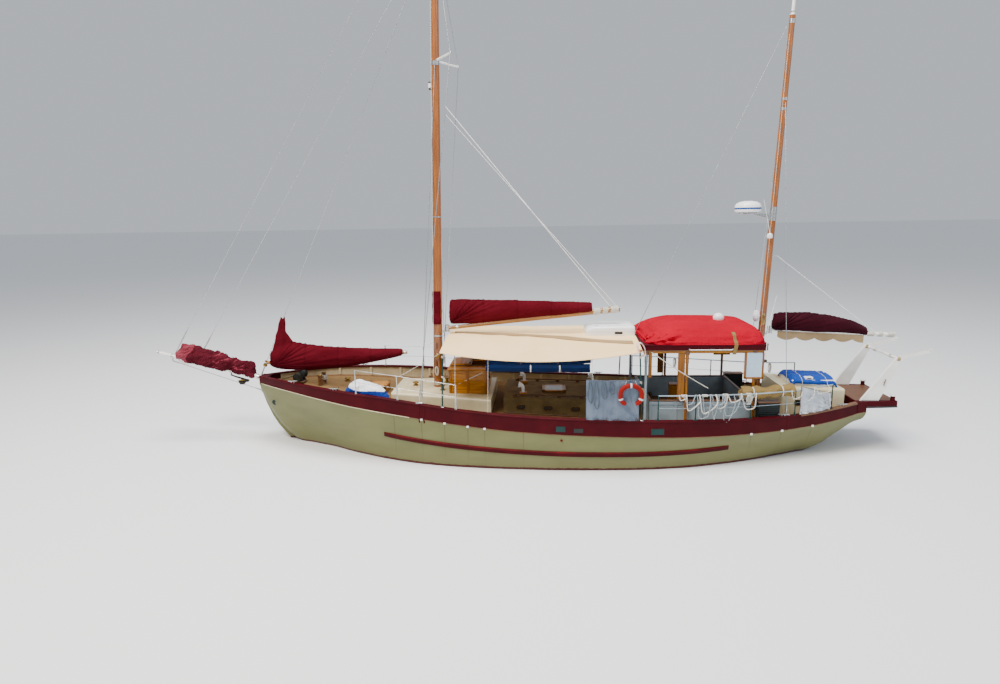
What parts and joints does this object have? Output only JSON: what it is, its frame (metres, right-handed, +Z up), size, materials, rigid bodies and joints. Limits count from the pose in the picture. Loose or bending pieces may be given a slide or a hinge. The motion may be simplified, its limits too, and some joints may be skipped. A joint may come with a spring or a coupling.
{
  "type": "sailing yacht",
  "caption": "Two-masted cruising sailing yacht with a bowsprit, maroon bulwarks, deckhouse, awning, canvas-topped doghouse, stowed sails and stern davits.",
  "frame": {"origin": "on the centreline at the waterline, amidships", "axes": "+X towards the bow, +Y to port, +Z up"},
  "size_m": [20.29, 4.91, 17.152],
  "materials": {
    "topside_paint": "cream gloss paint over the planked hull",
    "maroon_paint": "semi-gloss maroon paint",
    "ballast_iron": "antifouled iron",
    "teak": "bare weathered teak",
    "varnished_wood": "gloss varnish",
    "white_paint": "gloss white paint",
    "maroon_canvas": "woven acrylic canvas",
    "red_canvas": "woven acrylic canvas",
    "awning_canvas": "woven cotton and acrylic canvas",
    "steel_wire": "stainless wire and tube",
    "anchor_iron": "galvanised, weathered",
    "bronze": "cast bronze",
    "beige_paint": "matt deck paint",
    "blue_canvas": "woven acrylic canvas",
    "grey_canvas": "woven acrylic canvas",
    "white_canvas": "woven acrylic canvas",
    "sailcloth": "woven polyester sailcloth",
    "white_plastic": "moulded"
  },
  "bodies": {
    "yacht": {"hull": "topside_paint", "ballast_keel": "ballast_iron", "deck": "teak", "bulwark": "maroon_paint", "cap_rail": "teak", "stern_platform": "maroon_paint", "bowsprit": "white_paint", "furled_headsail": "maroon_canvas", "anchor": "anchor_iron", "windlass": "anchor_iron", "fore_hatch": "varnished_wood", "forward_coachroof": "topside_paint", "deckhouse": "varnished_wood", "mid_coachroof": "beige_paint", "aft_coachroof": "topside_paint", "aft_locker": "blue_canvas", "doghouse_coaming": "grey_canvas", "doghouse_roof": "varnished_wood", "canopy_cover": "red_canvas", "roof_box": "white_plastic", "awning": "awning_canvas", "awning_frame_forward": "steel_wire", "awning_frame_aft": "steel_wire", "helm_pedestal": "varnished_wood", "main_mast": "varnished_wood", "main_shrouds": "steel_wire", "forestay": "steel_wire", "outer_stay": "steel_wire", "staysail_stay": "steel_wire", "mizzen_mast": "varnished_wood", "mizzen_topmast": "white_paint", "mizzen_shrouds": "steel_wire", "mizzen_stay": "steel_wire", "guard_rail_forward_port": "steel_wire", "guard_rail_forward_starboard": "steel_wire", "guard_rail_aft_port": "steel_wire", "guard_rail_aft_starboard": "steel_wire", "weather_cloth_mid": "grey_canvas", "weather_cloth_aft": "white_canvas", "davits": "white_paint", "radar": "white_plastic"},
    "main_boom": {"main_boom": "varnished_wood", "main_sail_cover": "maroon_canvas", "topping_lift": "steel_wire"},
    "mizzen_boom": {"mizzen_boom": "white_paint", "mizzen_sail_cover": "maroon_canvas", "mizzen_sail": "sailcloth"},
    "staysail_boom": {"staysail_boom": "varnished_wood", "staysail_cover": "maroon_canvas"},
    "rudder": {"rudder": "ballast_iron"},
    "helm": {"helm_wheel": "varnished_wood"},
    "propeller": {"propeller": "bronze"},
    "fore_hatch_lid": {"fore_hatch_lid": "varnished_wood"},
    "mid_hatch_lid": {"mid_hatch_lid": "varnished_wood"},
    "deckhouse_hatch": {"deckhouse_hatch": "varnished_wood"}
  },
  "joints": [
    {"name": "main_boom_swing", "type": "hinge", "parent": "yacht", "child": "main_boom", "pos_m": [2.18561, 0, 3.08], "axis": [-0.024, 0, 0.9997], "range_deg": [-60, 60]},
    {"name": "mizzen_boom_swing", "type": "hinge", "parent": "yacht", "child": "mizzen_boom", "pos_m": [-6.27753, 0, 2.99], "axis": [-0.0409, 0, 0.9992], "range_deg": [-55, 55]},
    {"name": "staysail_boom_swing", "type": "hinge", "parent": "yacht", "child": "staysail_boom", "pos_m": [7.4, 0, 1.812], "axis": [-0.4246, 0, 0.9054], "range_deg": [-40, 40]},
    {"name": "rudder_turn", "type": "hinge", "parent": "yacht", "child": "rudder", "pos_m": [-6.362, 0, -1.95], "axis": [-0.361, 0, 0.9326], "range_deg": [-35, 35]},
    {"name": "helm_turn", "type": "hinge", "parent": "yacht", "child": "helm", "pos_m": [-4.06, 0, 1.42], "axis": [1, 0, 0], "range_deg": [-540, 540]},
    {"name": "propeller_turn", "type": "hinge", "parent": "yacht", "child": "propeller", "pos_m": [-6.155, 0, -1], "axis": [1, 0, 0], "continuous": true},
    {"name": "fore_hatch_lid_hinge", "type": "hinge", "parent": "yacht", "child": "fore_hatch_lid", "pos_m": [4.44, 0, 1.5067], "axis": [0, 1, 0], "range_deg": [0, 60]},
    {"name": "mid_hatch_lid_hinge", "type": "hinge", "parent": "yacht", "child": "mid_hatch_lid", "pos_m": [-0.35, 0, 1.421], "axis": [0, 1, 0], "range_deg": [0, 100]},
    {"name": "deckhouse_hatch_slide", "type": "slide", "parent": "yacht", "child": "deckhouse_hatch", "axis": [1, 0, 0], "range_m": [-0.5, 0]}
  ],
  "couplings": [
    {"joint": "helm_turn", "follows": "rudder_turn", "ratio": 15.427}
  ]
}
